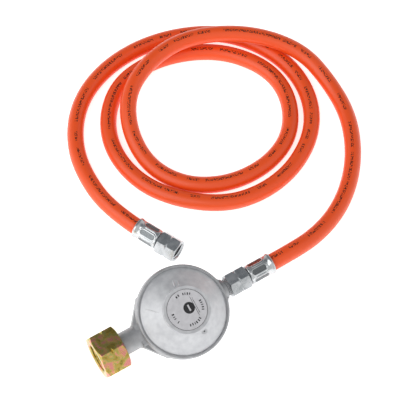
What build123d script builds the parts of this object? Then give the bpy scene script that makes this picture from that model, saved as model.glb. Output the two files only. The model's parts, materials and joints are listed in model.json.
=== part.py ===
from build123d import *
from math import cos, pi, radians, sin, sqrt, tan
import os

# A propane regulator hose: a round low-pressure regulator with its left-hand inlet nut, and
# a gas hose that is crimped at both ends into a swivel fitting. All sizes are millimetres.
# The floor is z = 0 and gas runs along +X. The regulator lies as it is put down, rolled a
# little about its port line, and "height" is measured from that line along its own axis.

# --- how the regulator lies ---
roll = 22  # degrees about the port line, so that the label leans towards -Y

# --- housing ---
rim_radius = 35.4
rim_flare_height = 5.5  # where the bowl meets the rim
rim_top = 13.0
rim_draft = 0.6
rim_edge = 1.1
flare_fillet = 3.0
base_fillet = 4.0
lip_thickness = 1.0  # the rim rolled over the cover
lip_radius = 33.2
base_radius = 17.5
base_depth = 10.0  # under the port line
base_wall = 2.2
bowl_wall = 2.6
stub_radius = 8.7
stub_shoulder_width = 18.4
stub_shoulder_height = 15.0
stub_shoulder_end = rim_radius + 1.8  # how far the square shoulder stands from the axis
web_height = 8.0
neck_radius = 7.9
neck_end = rim_radius + 2.6

# --- diaphragm clamp and cover ---
ledge_height = 9.0
bead_thickness = 1.2
cover_flange = 1.8
cover_gap = 0.1
cover_cone_radius = 32.9
cover_wall = 1.8
boss_radius = 18.2
boss_height = 27.0
boss_foot_height = 25.2
label_radius = 15.4
label_thickness = 0.5
label_recess = 0.8  # the label lies a little below the rim of its recess
vent_radius = 0.6
vent_distance = 20.3
vent_angle = -78  # degrees round the cover from the outlet
hood_radius = 2.2
hood_height = 0.7

# --- spring chamber ---
plug_radius = 11.0
plug_thickness = 3.2
plug_gap = 0.05
spring_radius = 7.6
spring_wire = 1.4
spring_turns = 6.0

# --- diaphragm stack ---
lift = 3.0  # full travel of the diaphragm
membrane_thickness = 0.8
membrane_height = 5.6  # underside of its middle, gas off
plate_radius = 20.0
plate_thickness = 1.0
plate_rim = 1.2
washer_radius = 7.0
washer_thickness = 0.8
stem_radius = 2.5
stem_bottom = -7.4
stem_slot_width = 2.6
stem_slot_height = 3.0
lock_radius = 5.0
lock_thickness = 0.6

# --- valve train ---
pivot_x = -12.0
pivot_depth = 5.3
pin_radius = 1.0
pin_length = 10.0
pin_gap = 0.05
lever_width = 2.2
lever_hub_radius = 1.6
lever_hub_width = 3.0
lever_arm = 1.1
lug_gap = 0.3
lug_thickness = 2.2
lug_radius = 1.6
holder_radius = 3.5
holder_gap = 0.05
holder_start = -19.4
holder_end = -9.6
holder_slot = 3.0
pad_radius = 2.6
pad_thickness = 1.6
guide_radius = 4.7
guide_end = -14.2
seat_radius = 4.0
seat_start = -31.0
seat_lip = -20.7
orifice_radius = 1.1

# --- inlet connection, W21.8 x 1/14 left-hand, drawn at its outside diameter ---
inlet_nut_flats = 32.0
inlet_nut_length = 20.5
inlet_nut_face = -71.5
inlet_thread_radius = 10.95
inlet_thread_end = 10.2  # the thread stops here, at the undercut round the seal
inlet_undercut_radius = 11.5
inlet_shoulder = 4.0
inlet_mark_depth = 1.2  # of the V groove that marks a left-hand thread
spigot_radius = 6.2
spigot_gap = 0.05
spigot_collar_radius = 9.4
spigot_collar_length = 2.5
spigot_nose = 1.0
spigot_bore = 3.2
spigot_end = -32.0
nut_float = 0.3  # free play of a swivel nut along its spigot
inlet_seal_thickness = 2.2
inlet_seal_radius = 8.0
filter_length = 7.0
filter_wall = 0.4

# --- hose fittings, G 1/4 left-hand, drawn at its outside diameter ---
union_flats = 17.0
union_length = 17.0
union_face = rim_radius + 5.6  # mouth of the regulator-end nut
union_thread_radius = 6.65
union_thread_end = 7.2
union_undercut_radius = 6.9
union_shoulder = 4.0
union_mark_depth = 1.2
nipple_gap = 0.07
thread_pitch = 1.337
thread_groove = 0.5
seat_mouth = 5.2  # radius of the nipple's cone seat at its rim
seat_angle = 30  # degrees from the axis
tail_nose_radius = 3.6
tail_collar_length = 2.2
tail_collar_radius = 6.2
tail_neck_radius = 4.95
tail_bore = 2.0
tail_end = 37.0
barb_pitch = 4.0
barb_depth = 0.45
ferrule_start = 17.7
ferrule_length = 20.5
ferrule_wall = 1.1
ferrule_end_wall = 1.5
ferrule_flare = 1.0
ferrule_flare_length = 3.2
crimp_pads = 6
crimp_length = 13.0
crimp_width = 5.2
crimp_depth = 0.7

# --- hose ---
hose_radius = 6.65
hose_bore = 3.15
free_mouth = (36.4, 50.8, 8.8)  # mouth of the free-end nut
free_angle = 116.0  # degrees from +X, from that mouth towards the hose
straight_run = 33.5  # each end of the hose leaves its fitting in line for this far
free_straight_run = 43.0
hose_route = [
    (133, 7, 11.6),
    (161, 18, 7.8),
    (185, 36, 6.7),
    (204, 60, 6.7),
    (217, 89, 6.7),
    (220, 121, 8),
    (214, 151, 17),
    (192, 179, 22),
    (163, 199, 23),
    (132, 209, 23),
    (100, 205, 22.5),
    (71, 189, 20),
    (56, 161, 13),
    (55, 127, 7.5),
    (72, 98, 6.7),
    (102, 82, 6.7),
    (137, 81, 6.7),
    (167, 95, 6.7),
    (185, 125, 6.7),
    (185, 157, 6.7),
    (166, 187, 6.7),
    (138, 205, 6.7),
    (104, 213, 6.7),
    (71, 207, 6.7),
    (47, 183, 6.7),
    (37, 152, 6.7),
    (42, 118, 6.7),
    (61, 90, 6.7),
    (90, 68, 6.7),
    (122, 62, 6.7),
    (155, 69, 6.7),
    (184, 89, 6.7),
    (200, 118, 6.7),
    (202, 152, 6.7),
    (190, 184, 6.7),
    (168, 209, 6.7),
    (137, 224, 6.7),
    (104, 230, 6.7),
    (70, 226, 6.7),
    (40, 211, 6.7),
    (19, 186, 6.7),
    (8, 154, 6.7),
]

# --- places worked out from the sizes above ---
# The regulator is centred on the origin: its reach to each side is that of its rounded rim.
lean = radians(roll)
port_height = inlet_nut_flats / sqrt(3) * cos(lean)  # the nut stands on one corner
collar_stop = union_length - union_shoulder - nut_float
tail_collar_start = collar_stop - tail_collar_length
nipple_end = union_face + tail_collar_start - nut_float
place_x = -(inlet_nut_face + nipple_end) / 2
low_side = (rim_radius - rim_draft) * cos(lean) + (rim_top - 0.65 * rim_edge) * sin(lean)
high_side = rim_radius * cos(lean) - (rim_flare_height + 0.32 * flare_fillet) * sin(lean)
place_y = (low_side - high_side) / 2
clamp_height = ledge_height + bead_thickness
cover_top = clamp_height + cover_flange
cover_seat_radius = rim_radius - rim_draft - 1.2
plate_seat = membrane_height + membrane_thickness
lock_seat = plate_seat + plate_thickness
plug_top = boss_height - label_recess - 0.3
plug_bottom = plug_top - plug_thickness
valve_travel = pivot_depth * lift / -pivot_x
collar_end = inlet_nut_face + inlet_nut_length - inlet_shoulder - nut_float
collar_start = collar_end - spigot_collar_length
seal_start = collar_start - inlet_seal_thickness
stub_end = inlet_nut_face + inlet_nut_length + nut_float
hose_start = ferrule_start + ferrule_end_wall

regulator = Plane(
    origin=(place_x, place_y, port_height), x_dir=(1, 0, 0), z_dir=(0, -sin(lean), cos(lean))
)
# Drawing planes that hold a part's axis: X runs along it, and Y is the way its corner points.
side = Plane(origin=regulator.origin, x_dir=regulator.x_dir, z_dir=-regulator.y_dir)
regulator_end = Plane(
    origin=side.from_local_coords((union_face, 0)), x_dir=side.x_dir, z_dir=side.z_dir
)
turn_to_hose = radians(free_angle)
free_end = Plane(
    origin=free_mouth, x_dir=(cos(turn_to_hose), sin(turn_to_hose), 0), z_dir=(0, 0, 1)
)


def across(line, x):
    """The plane square to a drawing plane's X axis, x along it."""
    return Plane(line.from_local_coords((x, 0, 0)), x_dir=line.y_dir, z_dir=line.x_dir)


def turn(points, line, about, mode=Mode.ADD):
    """Turn a closed outline in a drawing plane about one of the plane's directions."""
    with BuildSketch(line) as outline:
        with BuildLine():
            Polyline(*points, close=True)
        make_face()
    revolve(outline.sketch, axis=Axis(line.origin, about), mode=mode)


def rod(line, x0, x1, radius, mode=Mode.ADD):
    """A round bar along a drawing plane's X axis, from x0 to x1."""
    with BuildSketch(across(line, x0)) as disc:
        Circle(radius)
    extrude(disc.sketch, amount=x1 - x0, mode=mode)


def disc(low, high, radius, mode=Mode.ADD):
    """A round plate square to the regulator's own axis, between two heights."""
    with BuildSketch(regulator.offset(low)) as round_plate:
        Circle(radius)
    extrude(round_plate.sketch, amount=high - low, mode=mode)


def hex_bar(line, length, flats):
    """A hexagon bar from x = 0, its corners turned down to a chamfer at both ends."""
    corner = flats / sqrt(3)
    chamfer = corner - flats / 2 + 0.3
    slope = chamfer * tan(radians(30))
    with BuildSketch(across(line, 0)) as hexagon:
        RegularPolygon(corner, 6)
    extrude(hexagon.sketch, amount=length)
    ends = [(0, 0), (0, corner - chamfer), (slope, corner), (length - slope, corner)]
    turn(ends + [(length, corner - chamfer), (length, 0)], line, line.x_dir, Mode.INTERSECT)


def left_hand_mark(line, middle, flats, depth):
    """The V groove across a nut's corners that marks a left-hand thread."""
    corner = flats / sqrt(3)
    groove = [(middle - depth, corner + 0.01), (middle + depth, corner + 0.01)]
    turn(groove + [(middle, corner - depth)], line, line.x_dir, Mode.SUBTRACT)


# --- housing and cover ---
with BuildPart() as body_casting:
    bowl_slope = (rim_radius - base_radius) / (base_depth + rim_flare_height)
    with BuildSketch(side):
        with BuildLine():
            skin = FilletPolyline(
                (0, -base_depth),
                (base_radius, -base_depth),
                (rim_radius, rim_flare_height),
                (rim_radius - rim_draft, rim_top),
                (0, rim_top),
                radius=(base_fillet, flare_fillet, rim_edge),
            )
            Line(skin @ 1, skin @ 0)
        make_face()
    revolve(axis=Axis(regulator.origin, regulator.z_dir))
    rod(side, stub_end, 0, stub_radius)
    rod(side, 0, neck_end, neck_radius)
    rod(side, neck_end, nipple_end, union_thread_radius - nipple_gap)
    with BuildSketch(across(side, -stub_shoulder_end)):
        RectangleRounded(stub_shoulder_height, stub_shoulder_width, 1.2)
    extrude(amount=stub_shoulder_end / 2)
    with BuildSketch(regulator.offset(-web_height / 2)):
        with BuildLine():
            Polyline(
                (-stub_shoulder_end, stub_shoulder_width / 2),
                (-rim_radius * 0.68, rim_radius * 0.72),
                (rim_radius * 0.68, rim_radius * 0.72),
                (neck_end - 1, neck_radius - 0.6),
            )
            mirror(about=Plane.XZ)
            Line(
                (-stub_shoulder_end, -stub_shoulder_width / 2),
                (-stub_shoulder_end, stub_shoulder_width / 2),
            )
            Line((neck_end - 1, 0.6 - neck_radius), (neck_end - 1, neck_radius - 0.6))
        make_face()
    extrude(amount=web_height)
    floor = base_wall - base_depth
    cavity = [
        (0, floor),
        (base_radius - 2, floor),
        (rim_radius - bowl_wall * 2, rim_flare_height - 0.5),
        (rim_radius - bowl_wall * 2, ledge_height),
        (cover_seat_radius, ledge_height),
        (cover_seat_radius, rim_top - lip_thickness),
        (lip_radius, rim_top - lip_thickness),
        (lip_radius, rim_top),
        (0, rim_top),
    ]
    turn(cavity, side, side.y_dir, Mode.SUBTRACT)
    rod(side, seat_lip - 5, guide_end, guide_radius)
    lug_middle = lever_hub_width / 2 + lug_gap + lug_thickness / 2
    for across_port in (-lug_middle, lug_middle):
        lug_middle_point = regulator.from_local_coords((0, across_port, 0))
        with BuildSketch(Plane(lug_middle_point, side.x_dir, side.z_dir)):
            with Locations((pivot_x, -pivot_depth)):
                Circle(lug_radius)
            with Locations((pivot_x, (floor - pivot_depth) / 2)):
                Rectangle(lug_radius * 2, pivot_depth * -1 - floor)
        extrude(amount=lug_thickness / 2, both=True)
    rod(side, stub_end, spigot_end, spigot_radius, Mode.SUBTRACT)
    rod(side, spigot_end, seat_lip - 2, seat_radius, Mode.SUBTRACT)
    rod(side, seat_lip - 2, guide_end, holder_radius + holder_gap, Mode.SUBTRACT)
    rod(side, rim_radius * 0.6, nipple_end, spigot_bore, Mode.SUBTRACT)
    cone_foot = nipple_end - (seat_mouth - spigot_bore) / tan(radians(seat_angle))
    cone = [(cone_foot, 0), (nipple_end, 0), (nipple_end, seat_mouth), (cone_foot, spigot_bore)]
    turn(cone, side, side.x_dir, Mode.SUBTRACT)
    for ring in range(int((nipple_end - neck_end) / thread_pitch) - 1):
        middle = neck_end + thread_pitch * (ring + 1)
        outer = union_thread_radius - nipple_gap
        groove = [(middle - thread_groove, outer + 0.01), (middle + thread_groove, outer + 0.01)]
        turn(groove + [(middle, outer - thread_groove)], side, side.x_dir, Mode.SUBTRACT)
    with BuildSketch(Plane(regulator.origin, side.x_dir, side.z_dir)):
        with Locations((pivot_x, -pivot_depth)):
            Circle(pin_radius)
    extrude(amount=pin_length / 2, both=True, mode=Mode.SUBTRACT)
body_casting.part.label = "body_casting"

cover_rim = cover_seat_radius - cover_gap
cone_drop = (boss_foot_height - cover_top) / (cover_cone_radius - boss_radius)
with BuildPart() as bonnet_cover:
    ceiling = boss_foot_height - cover_wall
    shell = [
        (cover_rim, clamp_height),
        (cover_rim, cover_top),
        (cover_cone_radius, cover_top),
        (cover_cone_radius - 0.8, cover_top + 0.8),
        (boss_radius, boss_foot_height),
        (boss_radius - 0.3, boss_height - 0.3),
        (boss_radius - 0.6, boss_height),
        (label_radius + 0.1, boss_height),
        (label_radius + 0.1, boss_height - label_recess),
        (plug_radius, boss_height - label_recess),
        (plug_radius, ceiling - 0.6),
        (plug_radius + cover_wall, ceiling - 0.6),
        (plug_radius + cover_wall, ceiling),
        (boss_radius - 0.8, ceiling),
        (cover_cone_radius - 2.4, cover_top - 0.6),
        (cover_cone_radius - 2.4, clamp_height),
    ]
    turn(shell, side, side.y_dir)
    vent_place = (
        vent_distance * cos(radians(vent_angle)),
        vent_distance * sin(radians(vent_angle)),
    )
    vent_skin = boss_foot_height - (vent_distance - boss_radius) * cone_drop
    with BuildSketch(regulator.offset(vent_skin - 1)):
        with Locations(vent_place):
            Circle(hood_radius)
    extrude(amount=hood_height + 1)
    with BuildSketch(regulator.offset(clamp_height)):
        with Locations(vent_place):
            Circle(vent_radius)
    extrude(amount=boss_height - clamp_height, mode=Mode.SUBTRACT)
bonnet_cover.part.label = "bonnet_cover"

with BuildPart() as rating_label:
    label_foot = boss_height - label_recess
    disc(label_foot, label_foot + label_thickness, label_radius)
rating_label.part.label = "rating_label"

with BuildPart() as adjusting_plug:
    disc(plug_bottom, plug_top, plug_radius - plug_gap)
    disc(plug_bottom - 1.2, plug_bottom, spring_radius - spring_wire / 2 - 0.2)
    with BuildSketch(regulator.offset(plug_top)):
        RegularPolygon(4.0, 6)
    extrude(amount=-2.0, mode=Mode.SUBTRACT)
adjusting_plug.part.label = "adjusting_plug"

spring_low = lock_seat
spring_high = plug_bottom
with BuildPart() as main_spring:
    spring_pitch = (spring_high - spring_low - spring_wire) / spring_turns
    spring_foot = regulator.from_local_coords((0, 0, spring_low + spring_wire / 2))
    with BuildLine():
        coil = Helix(
            spring_pitch,
            spring_pitch * spring_turns,
            spring_radius,
            center=spring_foot,
            direction=regulator.z_dir,
        )
    with BuildSketch(Plane(coil @ 0, z_dir=coil % 0)):
        Circle(spring_wire / 2 - 0.02)
    sweep(is_frenet=True)
main_spring.part.label = "main_spring"

# --- diaphragm stack ---
with BuildPart() as diaphragm:
    fold_out = rim_radius - bowl_wall * 2 - 0.3
    low = membrane_height
    high = plate_seat
    membrane = [
        (stem_radius, low),
        (plate_radius + 0.6, low),
        (fold_out, ledge_height),
        (cover_seat_radius - 0.2, ledge_height),
        (cover_seat_radius - 0.2, clamp_height),
        (fold_out - 0.5, clamp_height),
        (plate_radius + 0.3, high),
        (stem_radius, high),
    ]
    turn(membrane, side, side.y_dir)
diaphragm.part.label = "diaphragm"

with BuildPart() as diaphragm_plate:
    pan = [
        (stem_radius, plate_seat),
        (plate_radius, plate_seat),
        (plate_radius, plate_seat + plate_thickness + plate_rim),
        (plate_radius - plate_thickness, plate_seat + plate_thickness + plate_rim),
        (plate_radius - plate_thickness, plate_seat + plate_thickness),
        (stem_radius, plate_seat + plate_thickness),
    ]
    turn(pan, side, side.y_dir)
diaphragm_plate.part.label = "diaphragm_plate"

with BuildPart() as lower_washer:
    disc(membrane_height - washer_thickness, membrane_height, washer_radius)
    disc(membrane_height - washer_thickness, membrane_height, stem_radius, Mode.SUBTRACT)
lower_washer.part.label = "lower_washer"

with BuildPart() as diaphragm_stem:
    disc(stem_bottom, lock_seat + lock_thickness + 0.6, stem_radius)
    disc(membrane_height - washer_thickness - 1, membrane_height - washer_thickness, stem_radius + 1)
    with BuildSketch(Plane(regulator.origin, side.x_dir, side.z_dir)):
        with Locations((0, -pivot_depth)):
            Rectangle(stem_radius * 3, stem_slot_height)
    extrude(amount=stem_slot_width / 2, both=True, mode=Mode.SUBTRACT)
diaphragm_stem.part.label = "diaphragm_stem"

with BuildPart() as stem_lock_washer:
    disc(lock_seat, lock_seat + lock_thickness, lock_radius)
    disc(lock_seat, lock_seat + lock_thickness, stem_radius, Mode.SUBTRACT)
stem_lock_washer.part.label = "stem_lock_washer"

# --- valve train ---
with BuildPart() as lever:
    with BuildSketch(side):
        with Locations((pivot_x / 2, -pivot_depth)):
            Rectangle(-pivot_x, lever_arm)
        with Locations((pivot_x, -pivot_depth / 2)):
            Rectangle(lever_arm, pivot_depth)
        with Locations((0, -pivot_depth)):
            Circle(stem_slot_height / 2 - 0.1)
        with Locations((pivot_x, 0)):
            Circle(holder_slot / 2 - 0.08)
    extrude(amount=lever_width / 2, both=True)
    with BuildSketch(side):
        with Locations((pivot_x, -pivot_depth)):
            Circle(lever_hub_radius)
    extrude(amount=lever_hub_width / 2, both=True)
    with BuildSketch(side):
        with Locations((pivot_x, -pivot_depth)):
            Circle(pin_radius + pin_gap)
    extrude(amount=lever_hub_width, both=True, mode=Mode.SUBTRACT)
lever.part.label = "lever"

with BuildPart() as lever_pin:
    with BuildSketch(side):
        with Locations((pivot_x, -pivot_depth)):
            Circle(pin_radius)
    extrude(amount=lug_middle + lug_thickness / 2, both=True)
lever_pin.part.label = "lever_pin"

with BuildPart() as valve_holder:
    rod(side, holder_start, holder_end, holder_radius)
    rod(side, holder_start, holder_start + pad_thickness, pad_radius, Mode.SUBTRACT)
    with BuildSketch(side):
        with Locations((pivot_x, -holder_radius / 2)):
            Rectangle(holder_slot, holder_radius + 3.2)
    extrude(amount=stem_slot_width / 2, both=True, mode=Mode.SUBTRACT)
valve_holder.part.label = "valve_holder"

with BuildPart() as valve_pad:
    rod(side, holder_start + 0.2, holder_start + pad_thickness, pad_radius)
valve_pad.part.label = "valve_pad"

with BuildPart() as valve_seat:
    nozzle = [
        (seat_start, orifice_radius * 2),
        (seat_start, seat_radius),
        (seat_lip - 2, seat_radius),
        (seat_lip - 2, holder_radius - 0.3),
        (seat_lip, orifice_radius + 0.5),
        (seat_lip, orifice_radius),
        (seat_lip - 5, orifice_radius),
        (seat_lip - 6, orifice_radius * 2),
    ]
    turn(nozzle, side, side.x_dir)
valve_seat.part.label = "valve_seat"

# --- inlet connection ---
with BuildPart() as inlet_spigot:
    rod(side, seal_start - spigot_nose, spigot_end, spigot_radius - 1)
    rod(side, collar_start, collar_end, spigot_collar_radius)
    rod(side, collar_end, spigot_end, spigot_radius)
    rod(side, seal_start - spigot_nose, spigot_end, spigot_bore, Mode.SUBTRACT)
inlet_spigot.part.label = "inlet_spigot"

with BuildPart() as inlet_seal:
    rod(side, seal_start, collar_start, inlet_seal_radius)
    rod(side, seal_start, collar_start, spigot_radius - 1, Mode.SUBTRACT)
inlet_seal.part.label = "inlet_seal"

with BuildPart() as inlet_filter:
    filter_end = seal_start + filter_length
    rod(side, seal_start, filter_end, spigot_bore)
    rod(side, seal_start, filter_end - filter_wall, spigot_bore - filter_wall, Mode.SUBTRACT)
inlet_filter.part.label = "inlet_filter"

inlet_line = Plane(
    origin=side.from_local_coords((inlet_nut_face, 0)), x_dir=side.x_dir, z_dir=side.z_dir
)
with BuildPart() as inlet_nut:
    hex_bar(inlet_line, inlet_nut_length, inlet_nut_flats)
    left_hand_mark(inlet_line, inlet_nut_length / 2, inlet_nut_flats, inlet_mark_depth)
    undercut_end = inlet_nut_length - inlet_shoulder
    rod(inlet_line, 0, undercut_end, inlet_thread_radius, Mode.SUBTRACT)
    rod(inlet_line, inlet_thread_end, undercut_end, inlet_undercut_radius, Mode.SUBTRACT)
    rod(inlet_line, 0, inlet_nut_length, spigot_radius + spigot_gap, Mode.SUBTRACT)
    mouth = [(0, 0), (0, inlet_thread_radius + 0.8), (0.8, inlet_thread_radius), (0.8, 0)]
    turn(mouth, inlet_line, inlet_line.x_dir, Mode.SUBTRACT)
inlet_nut.part.label = "inlet_nut"


# --- the two hose fittings, which are the same ---
def fitting(line):
    """The swivel nut, barbed tail and crimped ferrule on a line that runs towards the hose."""
    with BuildPart() as union_nut:
        hex_bar(line, union_length, union_flats)
        left_hand_mark(line, union_length / 2, union_flats, union_mark_depth)
        undercut_end = union_length - union_shoulder
        rod(line, 0, undercut_end, union_thread_radius, Mode.SUBTRACT)
        rod(line, union_thread_end, undercut_end, union_undercut_radius, Mode.SUBTRACT)
        rod(line, 0, union_length, tail_neck_radius + pin_gap, Mode.SUBTRACT)
        mouth = [(0, 0), (0, union_thread_radius + 0.6), (0.6, union_thread_radius), (0.6, 0)]
        turn(mouth, line, line.x_dir, Mode.SUBTRACT)
    with BuildPart() as tail:
        half_barb = barb_depth / 2
        seat_run = nipple_end - union_face
        nose_start = seat_run - (seat_mouth - tail_nose_radius) / tan(radians(seat_angle))
        neck_stop = ferrule_start + ferrule_end_wall
        body = [
            (nose_start, tail_bore),
            (nose_start, tail_nose_radius),
            (seat_run, seat_mouth),
            (tail_collar_start, seat_mouth),
            (tail_collar_start, tail_collar_radius),
            (collar_stop, tail_collar_radius),
            (collar_stop, tail_neck_radius),
            (neck_stop, tail_neck_radius),
            (neck_stop, hose_bore - barb_depth),
        ]
        for barb in range(int((tail_end - neck_stop) / barb_pitch)):
            foot = neck_stop + barb_pitch * barb
            body.append((foot + barb_pitch * 0.25, hose_bore))
            body.append((foot + barb_pitch, hose_bore - barb_depth))
        body.append((tail_end, hose_bore - barb_depth - half_barb))
        body.append((tail_end, tail_bore))
        turn(body, line, line.x_dir)
    with BuildPart() as ferrule:
        outer = hose_radius + ferrule_wall
        stop = ferrule_start + ferrule_length
        sleeve = [
            (ferrule_start, tail_neck_radius),
            (ferrule_start, outer - 0.7),
            (ferrule_start + 0.7, outer),
            (stop - ferrule_flare_length, outer),
            (stop - 1.2, outer + ferrule_flare),
            (stop, outer + ferrule_flare - 0.5),
            (stop, hose_radius + ferrule_flare),
            (stop - ferrule_flare_length + 0.6, hose_radius),
            (hose_start, hose_radius),
            (hose_start, tail_neck_radius),
        ]
        turn(sleeve, line, line.x_dir)
        pad_middle = ferrule_start + (ferrule_length - ferrule_flare_length) / 2
        for pad in range(crimp_pads):
            heading = across(line, pad_middle).rotated((0, 0, 360 * pad / crimp_pads))
            flat = Plane(
                heading.from_local_coords((outer, 0, 0)), x_dir=line.x_dir, z_dir=heading.x_dir
            )
            with BuildSketch(flat) as print_shape:
                SlotOverall(crimp_length, crimp_width)
            extrude(print_shape.sketch, amount=-crimp_depth, mode=Mode.SUBTRACT)
    return union_nut.part, tail.part, ferrule.part


regulator_union_nut, regulator_tail, regulator_ferrule = fitting(regulator_end)
free_union_nut, free_tail, free_ferrule = fitting(free_end)
regulator_union_nut.label = "regulator_union_nut"
regulator_tail.label = "regulator_tail"
regulator_ferrule.label = "regulator_ferrule"
free_union_nut.label = "free_union_nut"
free_tail.label = "free_tail"
free_ferrule.label = "free_ferrule"

# --- hose ---
hose_points = [
    regulator_end.from_local_coords((hose_start, 0, 0)),
    regulator_end.from_local_coords((hose_start + straight_run, 0, 0)),
    *[Vector(*point) for point in hose_route],
    free_end.from_local_coords((hose_start + free_straight_run, 0, 0)),
    free_end.from_local_coords((hose_start, 0, 0)),
]


def corner_radius(before, corner, after):
    """The radius of the arc at a corner: 0.45 of the shorter run over tan of half the turn."""
    inward = corner - before
    outward = after - corner
    half_turn = radians(inward.get_angle(outward)) / 2
    return 0.45 * min(inward.length, outward.length) / tan(half_turn)


bend_radii = [corner_radius(*hose_points[i : i + 3]) for i in range(len(hose_points) - 2)]
with BuildLine() as hose_line:
    FilletPolyline(*hose_points, radius=bend_radii)
hose_path = hose_line.wires()[0]
with BuildPart() as hose:
    with BuildSketch(across(regulator_end, hose_start)) as section:
        Circle(hose_radius)
    sweep(section.sketch, path=hose_path)
    filled_share = hose.part.volume / (pi * hose_radius**2 * hose_path.length)
    for line in (regulator_end, free_end):
        rod(line, hose_start, tail_end, hose_bore, Mode.SUBTRACT)
hose.part.label = "hose"

print("hose length", round(hose_path.length), "least bend radius", round(min(bend_radii)))
print("bend radii", [round(radius) for radius in bend_radii])
print("hose volume against section times length", round(filled_share, 4))
print("valve travel", round(valve_travel, 3), "port height", round(port_height, 2))

os.makedirs("parts", exist_ok=True)
pieces = [
    body_casting.part,
    bonnet_cover.part,
    rating_label.part,
    adjusting_plug.part,
    main_spring.part,
    diaphragm.part,
    diaphragm_plate.part,
    lower_washer.part,
    diaphragm_stem.part,
    stem_lock_washer.part,
    lever.part,
    lever_pin.part,
    valve_holder.part,
    valve_pad.part,
    valve_seat.part,
    inlet_spigot.part,
    inlet_seal.part,
    inlet_filter.part,
    inlet_nut.part,
    regulator_union_nut,
    regulator_tail,
    regulator_ferrule,
    free_union_nut,
    free_tail,
    free_ferrule,
    hose.part,
]
for piece in pieces:
    export_step(piece, f"parts/{piece.label}.step")
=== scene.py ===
# %% [markdown]
# # A propane regulator hose
# The engineering model gives every part its exact place, so it is loaded first as a fixed
# frame. Each part here is then given its real finish, and where the model is too plain, a
# finer piece stands for it and moves with the same body.

# %% Load the model
import json
from math import atan2, cos, degrees, exp, hypot, pi, radians, tau
from random import Random

import bmesh
import bpy
from mathutils import Matrix, Vector
from mathutils.kdtree import KDTree


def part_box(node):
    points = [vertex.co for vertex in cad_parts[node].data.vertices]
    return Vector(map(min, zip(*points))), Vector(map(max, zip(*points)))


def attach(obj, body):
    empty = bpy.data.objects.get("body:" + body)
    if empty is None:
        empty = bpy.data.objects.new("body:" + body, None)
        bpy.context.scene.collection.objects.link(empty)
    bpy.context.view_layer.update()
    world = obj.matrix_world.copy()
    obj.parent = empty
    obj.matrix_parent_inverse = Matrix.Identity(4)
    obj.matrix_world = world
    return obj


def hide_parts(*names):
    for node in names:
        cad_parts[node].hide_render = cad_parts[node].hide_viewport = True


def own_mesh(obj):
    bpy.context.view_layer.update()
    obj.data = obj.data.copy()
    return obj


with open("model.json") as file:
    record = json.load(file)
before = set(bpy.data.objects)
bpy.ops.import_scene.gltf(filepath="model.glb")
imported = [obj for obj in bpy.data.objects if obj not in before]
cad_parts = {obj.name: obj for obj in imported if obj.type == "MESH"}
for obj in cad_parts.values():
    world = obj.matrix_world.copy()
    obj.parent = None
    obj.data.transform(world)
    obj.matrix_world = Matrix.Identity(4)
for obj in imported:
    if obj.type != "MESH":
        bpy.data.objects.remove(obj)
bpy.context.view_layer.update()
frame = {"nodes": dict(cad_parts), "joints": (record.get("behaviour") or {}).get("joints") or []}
mm = 0.001
scene = bpy.context.scene

# %% [markdown]
# ## Camera
# The camera comes first, so that every later choice can be judged in the picture. It stands
# high on the left, about 1.2 m off with a long lens, as for a catalogue picture.

# %% Camera
camera_data = bpy.data.cameras.new("camera")
camera_data.lens = 138.93
camera_data.sensor_width = 36
camera = bpy.data.objects.new("camera", camera_data)
scene.collection.objects.link(camera)
camera.location = Vector((-217.02, -403.02, 1070.69)) * mm
aim = Vector((76.19, 84.96, 0)) * mm
camera.rotation_euler = (aim - camera.location).to_track_quat("-Z", "Y").to_euler()
scene.camera = camera
print("camera to aim", round((aim - camera.location).length, 3), "m")

# %% [markdown]
# ## Floor and light
# A white floor and one large soft light give the even look of a catalogue picture. The
# sky is brighter on one side than on the other, because bright metal only shows its shape
# by what it mirrors.


# %% Colour, material and mesh helpers
def linear(hex_colour):
    """An sRGB hex colour as the linear colour that a shader works with."""
    parts = [int(hex_colour[i : i + 2], 16) / 255 for i in (1, 3, 5)]
    return tuple(c / 12.92 if c <= 0.04045 else ((c + 0.055) / 1.055) ** 2.4 for c in parts) + (1,)


def add_node(tree, kind, inputs=None, stops=None, **settings):
    """Add a node, set or link its inputs, and set the stops of a colour ramp."""
    node = tree.nodes.new("ShaderNode" + kind)
    for name, value in settings.items():
        setattr(node, name, value)
    for name, value in (inputs or {}).items():
        if isinstance(value, bpy.types.NodeSocket):
            tree.links.new(value, node.inputs[name])
        else:
            node.inputs[name].default_value = value
    for i, (place, colour) in enumerate(stops or []):
        spots = node.color_ramp.elements
        spot = spots[i] if i < 2 else spots.new(place)
        spot.position = place
        spot.color = linear(colour)
    return node


def new_material(name, colour, metallic, roughness):
    """A material with its shader's constants set, and the shader itself."""
    material = bpy.data.materials.new(name)
    material.use_nodes = True
    shader = material.node_tree.nodes["Principled BSDF"]
    shader.inputs["Base Color"].default_value = linear(colour)
    shader.inputs["Metallic"].default_value = metallic
    shader.inputs["Roughness"].default_value = roughness
    return material, shader


def mesh_piece(name, bm, *materials):
    """An object from a bmesh, at the origin, with its materials."""
    mesh = bpy.data.meshes.new(name)
    bm.to_mesh(mesh)
    bm.free()
    for material in materials:
        mesh.materials.append(material)
    piece = bpy.data.objects.new(name, mesh)
    scene.collection.objects.link(piece)
    return piece


# %% Floor
# White paper, lit a little from within so that it stays white under the object.
paper, paper_shader = new_material("white_paper", "#FFFFFF", 0, 0.9)
paper_shader.inputs["Emission Color"].default_value = (1, 1, 1, 1)
paper_shader.inputs["Emission Strength"].default_value = 0.7
bm = bmesh.new()
bmesh.ops.create_grid(bm, x_segments=1, y_segments=1, size=4)
mesh_piece("floor", bm, paper)

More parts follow.
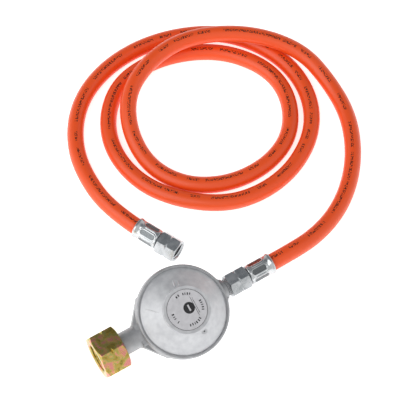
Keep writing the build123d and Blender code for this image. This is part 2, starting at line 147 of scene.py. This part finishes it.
# %% Light
# The sky is greyest behind and above the hose, the part that the nuts' upper faces mirror.
world = bpy.data.worlds.new("studio")
scene.world = world
world.use_nodes = True
sky = world.node_tree
way = add_node(sky, "TexCoord")
dark_way = Vector((0.25, 0.52, 0.82)).normalized()
facing = add_node(
    sky, "VectorMath", {0: way.outputs["Generated"], 1: dark_way}, operation="DOT_PRODUCT"
)
sky_tone = add_node(
    sky, "ValToRGB", {"Fac": facing.outputs["Value"]},
    stops=[(0.0, "#FFFFFF"), (0.62, "#F6F6F6"), (0.80, "#B9BBBE"), (0.93, "#94979B")],
)
backdrop = sky.nodes["Background"]
sky.links.new(sky_tone.outputs["Color"], backdrop.inputs["Color"])
backdrop.inputs["Strength"].default_value = 0.82


def soft_light(name, place, size, watts):
    """A square soft light that faces the middle of the object."""
    data = bpy.data.lights.new(name, "AREA")
    data.size = size
    data.energy = watts
    light = bpy.data.objects.new(name, data)
    scene.collection.objects.link(light)
    light.location = place
    light.rotation_euler = (aim - Vector(place)).to_track_quat("-Z", "Y").to_euler()


soft_light("key", (-1.1, 0.1, 1.1), 1.6, 11)
scene.view_settings.view_transform = "Standard"

# %% [markdown]
# ## The hose
# The real hose is 1.5 m of orange rubber, 13.3 mm thick, in two lazy loops on the floor. Its
# line is one smooth spline led by the route's points, and the tube is that spline with a
# round section. The tube gets a map whose first number is the place round the hose and whose
# second is the distance along it, so that the printed line follows every bend.

# %% The hose's line
hose_diameter = 13.3 * mm
hose_route = [
    (70.35, 3.2328, 17.1299), (103.85, 3.2328, 17.1299), (133, 7, 11.6), (161, 18, 7.8),
    (185, 36, 6.7), (204, 60, 6.7), (217, 89, 6.7), (220, 121, 8), (214, 151, 17),
    (192, 179, 22), (163, 199, 23), (132, 209, 23), (100, 205, 22.5), (71, 189, 20),
    (56, 161, 13), (55, 127, 7.5), (72, 98, 6.7), (102, 82, 6.7), (137, 81, 6.7),
    (167, 95, 6.7), (185, 125, 6.7), (185, 157, 6.7), (166, 187, 6.7), (138, 205, 6.7),
    (104, 213, 6.7), (71, 207, 6.7), (47, 183, 6.7), (37, 152, 6.7), (42, 118, 6.7),
    (61, 90, 6.7), (90, 68, 6.7), (122, 62, 6.7), (155, 69, 6.7), (184, 89, 6.7),
    (200, 118, 6.7), (202, 152, 6.7), (190, 184, 6.7), (168, 209, 6.7), (137, 224, 6.7),
    (104, 230, 6.7), (70, 226, 6.7), (40, 211, 6.7), (19, 186, 6.7), (8, 154, 6.7),
    (9.133, 106.705, 8.8), (27.983, 68.057, 8.8),
]
line_data = bpy.data.curves.new("hose_line", "CURVE")
line_data.dimensions = "3D"
line_data.resolution_u = 8
spline = line_data.splines.new("NURBS")
spline.points.add(len(hose_route) - 1)
for point, place in zip(spline.points, hose_route):
    point.co = (*(Vector(place) * mm), 1)
spline.order_u = 3
spline.use_endpoint_u = True
line = bpy.data.objects.new("hose_line", line_data)
scene.collection.objects.link(line)
bpy.context.view_layer.update()
line_mesh = bpy.data.meshes.new_from_object(line)
hose_path = [v.co.copy() for v in line_mesh.vertices]
travelled = [0.0]
for before, after in zip(hose_path, hose_path[1:]):
    travelled.append(travelled[-1] + (after - before).length)
print("hose line", len(hose_path), "points", round(travelled[-1], 4), "m")

# %% The hose's tube
line_data.bevel_depth = hose_diameter / 2
line_data.bevel_resolution = 8
line_data.use_fill_caps = True
bpy.context.view_layer.update()
hose_mesh = bpy.data.meshes.new_from_object(line)
bpy.data.objects.remove(line)
finder = KDTree(len(hose_path))
for i, point in enumerate(hose_path):
    finder.insert(point, i)
finder.balance()
place_on_hose = []
for v in hose_mesh.vertices:
    centre, i, _ = finder.find(v.co)
    tangent = (hose_path[min(i + 1, len(hose_path) - 1)] - hose_path[max(i - 1, 0)]).normalized()
    sideways = tangent.cross(Vector((0, 0, 1))).normalized()
    upward = sideways.cross(tangent)
    out = v.co - centre
    place_on_hose.append((atan2(out.dot(sideways), out.dot(upward)) / tau, travelled[i]))
hose_map = hose_mesh.uv_layers.new(name="hose_map")
for face in hose_mesh.polygons:
    corners = [(i, *place_on_hose[hose_mesh.loops[i].vertex_index]) for i in face.loop_indices]
    wraps = max(c[1] for c in corners) - min(c[1] for c in corners) > 0.5
    for i, round_it, along in corners:
        hose_map.data[i].uv = (round_it + 1 if wraps and round_it < 0 else round_it, along)
    face.use_smooth = True
hose_tube = bpy.data.objects.new("hose_tube", hose_mesh)
scene.collection.objects.link(hose_tube)
print("hose tube", len(hose_mesh.polygons), "faces")

# %% Orange gas-hose rubber
# Extruded nitrile rubber, dyed through and smooth from the die, with a soft gloss. One line of
# small ink marks runs along the top. They are noise cut into strokes, gathered in words.
print_place, print_half_width = -0.02, 0.027  # in turns round the hose, from its top
stroke_size = (42, 1000, 1)  # the map in millimetres: one turn is 42 mm round the skin
words_per_metre = 70.0
rubber, rubber_shader = new_material("orange_gas_hose_rubber", "#F0541B", 0, 0.33)
tree = rubber.node_tree
hose_place = add_node(tree, "UVMap", uv_map="hose_map")
stretch = add_node(
    tree, "Mapping", {"Vector": hose_place.outputs["UV"], "Scale": stroke_size}
)
letters = add_node(
    tree, "TexNoise", {"Vector": stretch.outputs["Vector"], "Scale": 0.9, "Detail": 0.0}
)
inked = add_node(
    tree, "MapRange",
    {"Value": letters.outputs["Fac"], "From Min": 0.50, "From Max": 0.53},
)
round_it = add_node(tree, "SeparateXYZ", {"Vector": hose_place.outputs["UV"]})
off_line = add_node(
    tree, "Math", {0: round_it.outputs["X"], 1: print_place}, operation="SUBTRACT"
)
off_line = add_node(tree, "Math", {0: off_line.outputs[0]}, operation="ABSOLUTE")
on_line = add_node(
    tree, "Math", {0: off_line.outputs[0], 1: print_half_width}, operation="LESS_THAN"
)
word = add_node(
    tree, "TexNoise", {"W": round_it.outputs["Y"], "Scale": words_per_metre, "Detail": 0.0},
    noise_dimensions="1D",
)
in_word = add_node(tree, "Math", {0: word.outputs["Fac"], 1: 0.42}, operation="GREATER_THAN")
print_mask = add_node(
    tree, "Math", {0: inked.outputs["Result"], 1: on_line.outputs[0]}, operation="MULTIPLY"
)
print_mask = add_node(
    tree, "Math", {0: print_mask.outputs[0], 1: in_word.outputs[0]}, operation="MULTIPLY"
)
skin = add_node(
    tree, "Mix", {"Factor": print_mask.outputs[0], "A": linear("#F0541B"), "B": linear("#3A1408")},
    data_type="RGBA",
)
tree.links.new(skin.outputs[2], rubber_shader.inputs["Base Color"])
hose_mesh.materials.clear()
hose_mesh.materials.append(rubber)

# %% The hose takes its place
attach(hose_tube, "housing")
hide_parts("hose")

# %% [markdown]
# ## Metal finishes
# The regulator is die-cast zinc: a dull light grey with a fine grain, coarser on the body
# than on the cover. The nuts are plated steel, one yellow and the others bright, and the
# ferrules are polished. Each finish is a metal shader with a grain of its real size.


# %% A grain for metal
def grain(shader, size, depth, low, high, rough_low, rough_high, distortion=0.0):
    """Give a shader a mottled colour, a varying gloss and a fine bump of a real size."""
    mottle_scale = 0.12 / size  # patches about eight grains across
    tree = shader.id_data
    place = add_node(tree, "TexCoord")
    mottle = add_node(
        tree, "TexNoise",
        {"Vector": place.outputs["Object"], "Scale": mottle_scale, "Detail": 4.0,
         "Distortion": distortion},
    )
    tone = add_node(
        tree, "ValToRGB", {"Fac": mottle.outputs["Fac"]}, stops=[(0.3, low), (0.7, high)]
    )
    gloss = add_node(
        tree, "MapRange",
        {"Value": mottle.outputs["Fac"], "From Min": 0.3, "From Max": 0.7,
         "To Min": rough_low, "To Max": rough_high},
    )
    fine = add_node(
        tree, "TexNoise",
        {"Vector": place.outputs["Object"], "Scale": 1 / size, "Detail": 3.0},
    )
    bump = add_node(tree, "Bump", {"Height": fine.outputs["Fac"], "Distance": depth})
    tree.links.new(tone.outputs["Color"], shader.inputs["Base Color"])
    tree.links.new(gloss.outputs["Result"], shader.inputs["Roughness"])
    tree.links.new(bump.outputs["Normal"], shader.inputs["Normal"])
    return tree, place, tone


# %% Cast, sheet and label metal
# Die-cast zinc as it leaves the mould: matt, grey and slightly pitted.
cast_zinc, shader = new_material("rough_cast_zinc", "#A9AAAC", 0.7, 0.5)
grain(shader, 0.9 * mm, 0.10 * mm, "#9C9D9F", "#B8B9BB", 0.42, 0.58)
# The same zinc from a smoother mould, tumbled to an even satin.
cover_zinc, shader = new_material("satin_zinc_cover", "#C6C7C9", 0.5, 0.45)
grain(shader, 0.6 * mm, 0.02 * mm, "#BCBDC0", "#CFD0D2", 0.4, 0.52)
# Printed aluminium foil, which scatters light more than the metal round it.
label_silver, shader = new_material("silver_label_foil", "#CDCCCF", 0.4, 0.5)
grain(shader, 0.4 * mm, 0.015 * mm, "#C6C5C8", "#D4D3D6", 0.45, 0.55)

# %% Inner metals and rubber
# Brass turned on a lathe: warm, and shiny where the tool has passed.
brass, shader = new_material("turned_brass", "#C9A24A", 1, 0.28)
grain(shader, 0.3 * mm, 0.01 * mm, "#BF9740", "#D2AC56", 0.22, 0.34)
# Steel wire drawn through a die, darker than the sheet.
spring_steel, shader = new_material("spring_steel", "#8F9296", 1, 0.35)
grain(shader, 0.3 * mm, 0.01 * mm, "#84878B", "#9A9DA1", 0.3, 0.4)
# Steel sheet pressed to shape, faintly uneven.
steel, shader = new_material("pressed_steel", "#A5A8AB", 1, 0.35)
grain(shader, 0.4 * mm, 0.015 * mm, "#9A9DA0", "#B0B3B6", 0.3, 0.42)
# Moulded nitrile rubber, almost black and without gloss.
black_rubber, shader = new_material("black_nitrile_rubber", "#1C1C1D", 0, 0.6)
grain(shader, 0.5 * mm, 0.02 * mm, "#171718", "#232324", 0.55, 0.7)

# %% Plated steel
# Zinc plated on turned steel bar: a cool mirror, dulled in small patches.
bright_zinc, shader = new_material("bright_zinc_plate", "#BEC1C3", 1, 0.24)
grain(shader, 0.7 * mm, 0.03 * mm, "#AEB2B4", "#CFD1D3", 0.2, 0.34)
# Thin steel polished and tinned. The dies leave a fine hatch on the floor of each pad.
hatch_pitch = 0.55 * mm
tinned, shader = new_material("polished_tinned_steel", "#C4C7C9", 1, 0.2)
tree, _, tone = grain(shader, 1.2 * mm, 0.02 * mm, "#B4B8BA", "#D6D8D9", 0.14, 0.26)
stamp = add_node(tree, "Attribute", attribute_name="stamp")
along = add_node(tree, "Attribute", attribute_name="stamp_along")
off = add_node(tree, "Attribute", attribute_name="stamp_off")
on_pad = add_node(tree, "CombineXYZ", {"X": along.outputs["Fac"], "Y": off.outputs["Fac"]})
hatch = add_node(
    tree, "TexChecker",
    {"Vector": on_pad.outputs["Vector"], "Color1": linear("#4F5355"), "Color2": linear("#868A8C"),
     "Scale": 1 / hatch_pitch},
)
worn = add_node(
    tree, "Mix", {"Factor": stamp.outputs["Fac"], "A": tone.outputs["Color"],
                  "B": hatch.outputs["Color"]},
    data_type="RGBA",
)
tree.links.new(worn.outputs[2], shader.inputs["Base Color"])

# %% Printing ink
# Black ink that lies on the foil, flat and a little glossy.
ink, shader = new_material("black_printing_ink", "#1B1B1D", 0, 0.5)
grain(shader, 0.3 * mm, 0.01 * mm, "#151517", "#242427", 0.4, 0.6)

# %% Yellow chromate
# Zinc plate dipped in chromate. Its film is thinner than light's own waves, so it drifts from
# gold to olive, green and rose over a few millimetres.
yellow_zinc, shader = new_material("yellow_chromate_zinc", "#C4A850", 1, 0.25)
film_patch = 9 * mm
tree, place, _ = grain(
    shader, 0.8 * mm, 0.03 * mm, "#A58E45", "#D8BC68", 0.2, 0.34, distortion=0.6
)
film = add_node(
    tree, "TexNoise",
    {"Vector": place.outputs["Object"], "Scale": 1 / film_patch, "Detail": 3.0,
     "Distortion": 1.2},
)
film_tone = add_node(
    tree, "ValToRGB", {"Fac": film.outputs["Fac"]},
    stops=[(0.34, "#84803F"), (0.44, "#BFA04E"), (0.50, "#A9A864"), (0.55, "#D2AC66"),
           (0.62, "#DB8F86")],
)
tree.links.new(film_tone.outputs["Color"], shader.inputs["Base Color"])

# %% Paint the model's own nodes
finishes = {
    "body_casting": cast_zinc, "bonnet_cover": cover_zinc, "rating_label": label_silver,
    "adjusting_plug": brass, "main_spring": spring_steel, "diaphragm": black_rubber,
    "diaphragm_plate": steel, "lower_washer": steel, "diaphragm_stem": brass,
    "stem_lock_washer": spring_steel, "lever": steel, "lever_pin": steel,
    "valve_holder": brass, "valve_pad": black_rubber, "valve_seat": brass,
    "inlet_spigot": brass, "inlet_seal": black_rubber, "inlet_filter": brass,
    "inlet_nut": yellow_zinc, "regulator_union_nut": bright_zinc, "free_union_nut": bright_zinc,
    "regulator_tail": bright_zinc, "free_tail": bright_zinc,
    "regulator_ferrule": tinned, "free_ferrule": tinned,
}
for name, material in finishes.items():
    node = frame["nodes"][name]
    node.data.materials.clear()
    node.data.materials.append(material)
print(len(finishes), "nodes painted")

# %% [markdown]
# ## Places on the regulator
# The regulator leans 22 degrees, so its pieces are drawn upright about its own axis and then
# set down by one matrix. The two fittings have matrices too, whose X runs along the fitting
# towards the hose.

# %% The regulator's own frame
def middle_of(node):
    """The middle of a node's box."""
    low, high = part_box(node)
    return (low + high) / 2


def frame_of(origin, x_way, z_way):
    """The matrix whose X and Z point these ways, at an origin."""
    x_way, z_way = Vector(x_way).normalized(), Vector(z_way).normalized()
    turned = Matrix((x_way, z_way.cross(x_way), z_way)).transposed()
    return Matrix.Translation(origin) @ turned.to_4x4()


upright = Vector(next(j for j in frame["joints"] if j["name"] == "diaphragm_lift")["axis"])
port = middle_of("inlet_spigot")
regulator = frame_of((middle_of("rating_label").x, port.y, port.z), (1, 0, 0), upright)
regulator_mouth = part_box("regulator_union_nut")[0].x
regulator_fitting = frame_of((regulator_mouth, port.y, port.z), (1, 0, 0), upright)
free_way = (hose_path[-2] - hose_path[-1]).normalized()
free_mouth = Vector((36.4, 50.8, 8.8)) * mm
# The quarter turn about its own line sets which of the free fitting's pads face up.
free_fitting = frame_of(free_mouth, free_way, (0, 0, 1)) @ Matrix.Rotation(pi / 2, 4, "X")
print("regulator at", [round(x, 4) for x in regulator.translation])

# %% [markdown]
# ## Ferrules
# A ferrule is a thin tube that six dies crimp on to the hose. Each die leaves a long pad with
# a hatched floor inside a raised rim, and the tube's end is belled out so that it can't cut
# the rubber. The tube is an outline spun round X, close-grained enough for the pads to be
# pressed into it.


# %% A spun ring
def spun(outline, steps):
    """Spin a closed outline of (along, out) millimetres about the X axis."""
    bm = bmesh.new()
    corners = [bm.verts.new((x * mm, 0, r * mm)) for x, r in outline]
    edges = [bm.edges.new(pair) for pair in zip(corners, corners[1:] + corners[:1])]
    bmesh.ops.spin(
        bm, geom=corners + edges, axis=(1, 0, 0), cent=(0, 0, 0), angle=tau, steps=steps,
        use_merge=True,
    )
    bmesh.ops.remove_doubles(bm, verts=bm.verts, dist=0.001 * mm)
    bmesh.ops.recalc_face_normals(bm, faces=bm.faces)
    return bm


def smooth(piece, degrees_sharp=35):
    """Shade a piece smooth, apart from edges sharper than an angle."""
    piece.data.shade_smooth()
    piece.data.set_sharp_from_angle(angle=radians(degrees_sharp))


# %% Press the ferrules
ferrule_outer, ferrule_start, ferrule_end = 7.75, 17.7, 38.2
pads, pad_middle, pad_length, pad_width = 6, 26.35, 13.0, 5.2
pad_depth, pad_wall = 0.62, 0.6  # how far the flat floor sinks, and how wide its wall is
groove_off, groove_width, groove_depth = 1.05, 0.3, 0.3  # the groove outside the pad's rim
neck_place, neck_width, neck_depth = 34.1, 0.7, 0.3  # the dip before the bell, over each pad
bell_start, bell_lobe = 35.3, 0.12
skin_inside = 7.0  # points nearer the axis than this are the bore, which stays round
skin_points = [(18.4 + 0.4 * i, ferrule_outer) for i in range(41)]
ferrule_outline = (
    [(ferrule_start, 4.96), (ferrule_start, 7.05)] + skin_points
    + [(34.9, 7.85), (35.5, 8.05), (36.2, 8.4), (37.0, 8.7), (37.7, 8.62), (ferrule_end, 8.3)]
    + [(ferrule_end, 7.7), (36.8, 7.25), (35.5, 6.75), (34.6, 6.66), (19.2, 6.66), (19.2, 4.96)]
)


def pressed_ferrule(name, place, node):
    """A ferrule with its six pads, set down by a fitting's matrix."""
    bm = spun(ferrule_outline, 144)
    # The material reads these three: how far a point is on a pad's floor, and where on it.
    layers = [bm.verts.layers.float.new(n) for n in ("stamp", "stamp_along", "stamp_off")]
    for v in bm.verts:
        along_it, out = v.co.x / mm, hypot(v.co.y, v.co.z) / mm
        if out < skin_inside:
            continue
        angle = atan2(v.co.y, v.co.z)
        pad_angle = angle - round(angle * pads / tau) * tau / pads
        off_line = pad_angle * ferrule_outer
        beyond = max(abs(along_it - pad_middle) - (pad_length - pad_width) / 2, 0)
        edge = hypot(beyond, off_line) - pad_width / 2
        floor_share = min(max((0.05 - edge) / pad_wall, 0), 1)
        floor_share = floor_share**2 * (3 - 2 * floor_share)
        flat = (ferrule_outer - pad_depth) / cos(pad_angle)
        sunk = (min(flat, out) - out) * floor_share
        groove = -groove_depth * exp(-(((edge - groove_off) / groove_width) ** 2))
        lobe = cos(pad_angle * pads)
        dip = exp(-(((along_it - neck_place) / neck_width) ** 2))
        neck = -neck_depth * (1 + lobe) / 2 * dip
        bell = bell_lobe * lobe * min(max(along_it - bell_start, 0), 1)
        grown = (out + sunk + groove + neck + bell) / out
        v.co.y *= grown
        v.co.z *= grown
        v[layers[0]] = floor_share if edge < -0.35 else 0
        v[layers[1]], v[layers[2]] = along_it * mm, off_line * mm
    bmesh.ops.transform(bm, matrix=place, verts=bm.verts)
    bmesh.ops.recalc_face_normals(bm, faces=bm.faces)
    piece = mesh_piece(name, bm, tinned)
    smooth(piece, 50)
    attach(piece, "housing")
    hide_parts(node)
    print(name, len(piece.data.polygons), "faces")
    return piece


ferrule_pieces = [
    pressed_ferrule("crimped_ferrule_regulator", regulator_fitting, "regulator_ferrule"),
    pressed_ferrule("crimped_ferrule_free", free_fitting, "free_ferrule"),
]

# %% [markdown]
# ## Nuts
# A real nut has no razor edges: turning, plating and spanners leave each one rounded by a few
# tenths of a millimetre, and that thin band catches the light. A copy of each nut is merged
# into clean faces and its sharp edges are bevelled.


# %% Rounded copies
def rounded_copy(name, node, body, width, sharp=25, segments=3):
    """A copy of a node with its triangles merged and its sharp edges rounded."""
    bm = bmesh.new()
    bm.from_mesh(frame["nodes"][node].data)
    bmesh.ops.remove_doubles(bm, verts=bm.verts, dist=0.002 * mm)
    bmesh.ops.dissolve_limit(
        bm, angle_limit=radians(0.5), verts=bm.verts, edges=bm.edges, use_dissolve_boundaries=False
    )
    edges = [
        e for e in bm.edges
        if len(e.link_faces) == 2 and e.calc_face_angle(0) > radians(sharp)
    ]
    bmesh.ops.bevel(
        bm, geom=edges, offset=width * mm, offset_type="OFFSET", affect="EDGES",
        segments=segments, profile=0.5, material=-1, clamp_overlap=True,
    )
    piece = mesh_piece(name, bm, finishes[node])
    smooth(piece, 40)
    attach(piece, body)
    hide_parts(node)
    print(name, len(edges), "edges rounded,", len(piece.data.polygons), "faces")
    return piece


rounded_copy("plated_inlet_nut", "inlet_nut", "inlet_nut_body", 0.35)
near_nut = rounded_copy(
    "plated_union_nut_regulator", "regulator_union_nut", "regulator_nut_body", 0.22
)
free_nut = rounded_copy("plated_union_nut_free", "free_union_nut", "free_nut_body", 0.22)

# %% [markdown]
# ## Threads
# Both open nuts show a thread. Each is one V-shaped ridge wound round the wall, with 14
# turns to the inch in the inlet nut and 19 in the free nut. The ridges show the threads' depth
# and pitch but not their hand: they wind the right-hand way, and the real ones are left-hand.


# %% Wind the threads
def thread_ridge(name, place, body, slot, first, last, pitch, outer, inner):
    """A V ridge inside a nut, wound along X from its mouth."""
    half_width = 0.42  # of the ridge's foot, in pitches
    bm = bmesh.new()
    corners = [
        bm.verts.new(Vector((first + x * pitch, 0, r)) * mm)
        for x, r in ((-half_width, outer), (0, inner), (half_width, outer))
    ]
    edges = [bm.edges.new(pair) for pair in zip(corners, corners[1:] + corners[:1])]
    turns, per_turn = (last - first) / pitch, 72
    bmesh.ops.spin(
        bm, geom=corners + edges, axis=(1, 0, 0), cent=(0, 0, 0), angle=tau * turns,
        dvec=(pitch / per_turn * mm, 0, 0), steps=round(turns * per_turn),
    )
    bmesh.ops.holes_fill(bm, edges=[e for e in bm.edges if e.is_boundary], sides=3)
    bmesh.ops.transform(bm, matrix=place, verts=bm.verts)
    bmesh.ops.recalc_face_normals(bm, faces=bm.faces)
    piece = mesh_piece(name, bm, finishes[slot])
    smooth(piece, 40)
    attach(piece, body)
    print(name, round(turns, 1), "turns,", len(piece.data.polygons), "faces")
    return piece


inlet_fitting = frame_of((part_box("inlet_nut")[0].x, port.y, port.z), (1, 0, 0), upright)
thread_ridge(
    "inlet_thread", inlet_fitting, "inlet_nut_body", "inlet_nut", 1.7, 9.3, 1.814, 10.97, 9.95
)
free_thread = thread_ridge(
    "outlet_thread", free_fitting, "free_nut_body", "free_union_nut", 1.3, 6.5, 1.337, 6.67, 5.85
)

# %% [markdown]
# ## Marks on the cover
# The casting keeps small marks of its mould: two gussets that brace the raised middle, a
# faint crease and a long soft ridge. Each is a bead on the cover, at least half sunk in it.


# %% Beads on the cover
well_above = 60  # mm, clear of the cover, where each point starts its drop on to it


def cover_bead(name, route, radii, sink):
    """A bead along (a, b) millimetres in the regulator's frame, laid on the cover."""
    data = bpy.data.curves.new(name, "CURVE")
    data.dimensions = "3D"
    data.resolution_u = 6
    data.bevel_depth = mm
    data.bevel_resolution = 3
    data.use_fill_caps = True
    bead = data.splines.new("NURBS")
    bead.points.add(len(route) - 1)
    for point, (a, b), radius in zip(bead.points, route, radii):
        above = regulator @ (Vector((a, b, well_above)) * mm)
        _, place, _, _ = frame["nodes"]["bonnet_cover"].ray_cast(above, -upright)
        point.co = (*(place - upright * sink * mm), 1)
        point.radius = radius
    bead.order_u = 3
    bead.use_endpoint_u = True
    drawn = bpy.data.objects.new(name, data)
    scene.collection.objects.link(drawn)
    bpy.context.view_layer.update()
    mesh = bpy.data.meshes.new_from_object(drawn)
    bpy.data.objects.remove(drawn)
    mesh.materials.clear()
    mesh.materials.append(cover_zinc)
    mesh.name = name
    piece = bpy.data.objects.new(name, mesh)
    scene.collection.objects.link(piece)
    smooth(piece, 50)
    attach(piece, "housing")
    print(name, len(mesh.polygons), "faces")


cover_bead("cover_gusset_a", [(2.6, 25.0), (1.6, 22.0), (0.6, 18.9)], [0.12, 0.45, 0.75], 0.0)
cover_bead("cover_gusset_b", [(5.5, 22.6), (4.7, 20.4), (3.9, 18.4)], [0.12, 0.4, 0.65], 0.0)
cover_bead(
    "cover_crease", [(-25, 15), (-22.6, 12.4), (-20.4, 9.4), (-18.6, 7.8)],
    [0.25, 0.4, 0.4, 0.25], 0.2,
)
cover_bead(
    "cover_ridge", [(19.6, 11.2), (24, 11.4), (28.4, 9.8), (31.6, 7.6)], [0.3, 0.6, 0.6, 0.3], 0.4
)

# %% [markdown]
# ## The label's print
# The foil carries four short curved lines of print, a straight one beside a thin rule, a
# round mark and a line round its edge. The print here says nothing: it is rows of dashes.

# %% Print the label
rng = Random(7)
print_thickness = 0.04 * mm
stroke_gap = 0.95
label_up = 26.7 * mm + print_thickness / 2  # the foil's face is 26.7 mm above the port line
bm = bmesh.new()
edge_section = ((14.95, 0), (15.2, 0), (15.2, 0.03), (14.95, 0.03))  # out, up
edge_line = [bm.verts.new((out * mm, 0, label_up + up * mm)) for out, up in edge_section]
edge_line += [bm.edges.new(pair) for pair in zip(edge_line, edge_line[1:] + edge_line[:1])]
bmesh.ops.spin(
    bm, geom=edge_line, axis=(0, 0, 1), cent=(0, 0, 0), angle=tau, steps=96, use_merge=True
)
bmesh.ops.transform(bm, matrix=regulator, verts=bm.verts)


def dash(out, across, tall, wide, turn, raised=0.0):
    """A flat printed bar, its middle at (out, across) once the label is turned so far."""
    shape = (
        regulator @ Matrix.Rotation(turn, 4, "Z")
        @ Matrix.Translation((out * mm, across * mm, label_up + raised * mm))
        @ Matrix.Diagonal((tall * mm, wide * mm, print_thickness, 1))
    )
    return bmesh.ops.create_cube(bm, size=1, matrix=shape)["verts"]


curved_lines = ((11.9, 52, 106), (11.9, -26, 24), (11.4, -106, -54), (11.2, 162, 210))
for out, first, last in curved_lines:  # each line's radius, and its ends in degrees
    turn = first
    while turn < last:
        wide = rng.uniform(0.6, 1.1)
        if rng.random() < 0.85:
            dash(out + rng.uniform(-0.15, 0.15), 0, rng.uniform(1.6, 2.0), wide, radians(turn))
        turn += degrees((wide + stroke_gap) / out)
for row in range(13):
    dash(7.4, -5.8 + row * 0.95 + rng.uniform(-0.1, 0.1), 0.5, rng.uniform(0.4, 0.7), 0)
dash(6.2, -0.2, 0.3, 15.2, 0)
disc_x, disc_y, disc_radius = 2.0, 0.5, 4.3 * mm
bmesh.ops.create_cone(
    bm, cap_ends=True, segments=48, radius1=disc_radius, radius2=disc_radius,
    depth=print_thickness,
    matrix=regulator @ Matrix.Translation((disc_x * mm, disc_y * mm, label_up)),
)
slot_bar = dash(disc_x, disc_y, 1.2, 4.8, 0, 0.03)
for face in {f for v in slot_bar for f in v.link_faces}:
    face.material_index = 1
bmesh.ops.recalc_face_normals(bm, faces=bm.faces)
label_print = mesh_piece("label_print", bm, ink, label_silver)
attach(label_print, "housing")
print("label print", len(label_print.data.polygons), "faces")

# %% [markdown]
# ## The main spring
# The spring is squeezed by 3 mm between the diaphragm plate and the plug above it. A copy of the
# model's spring, at the model's own length, stands for it.

# %% Copy the spring
bm = bmesh.new()
bm.from_mesh(frame["nodes"]["main_spring"].data)
bmesh.ops.remove_doubles(bm, verts=bm.verts, dist=0.002 * mm)
coil = mesh_piece("coiled_main_spring", bm, spring_steel)
smooth(coil, 40)
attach(coil, "housing")
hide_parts("main_spring")
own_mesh(coil)
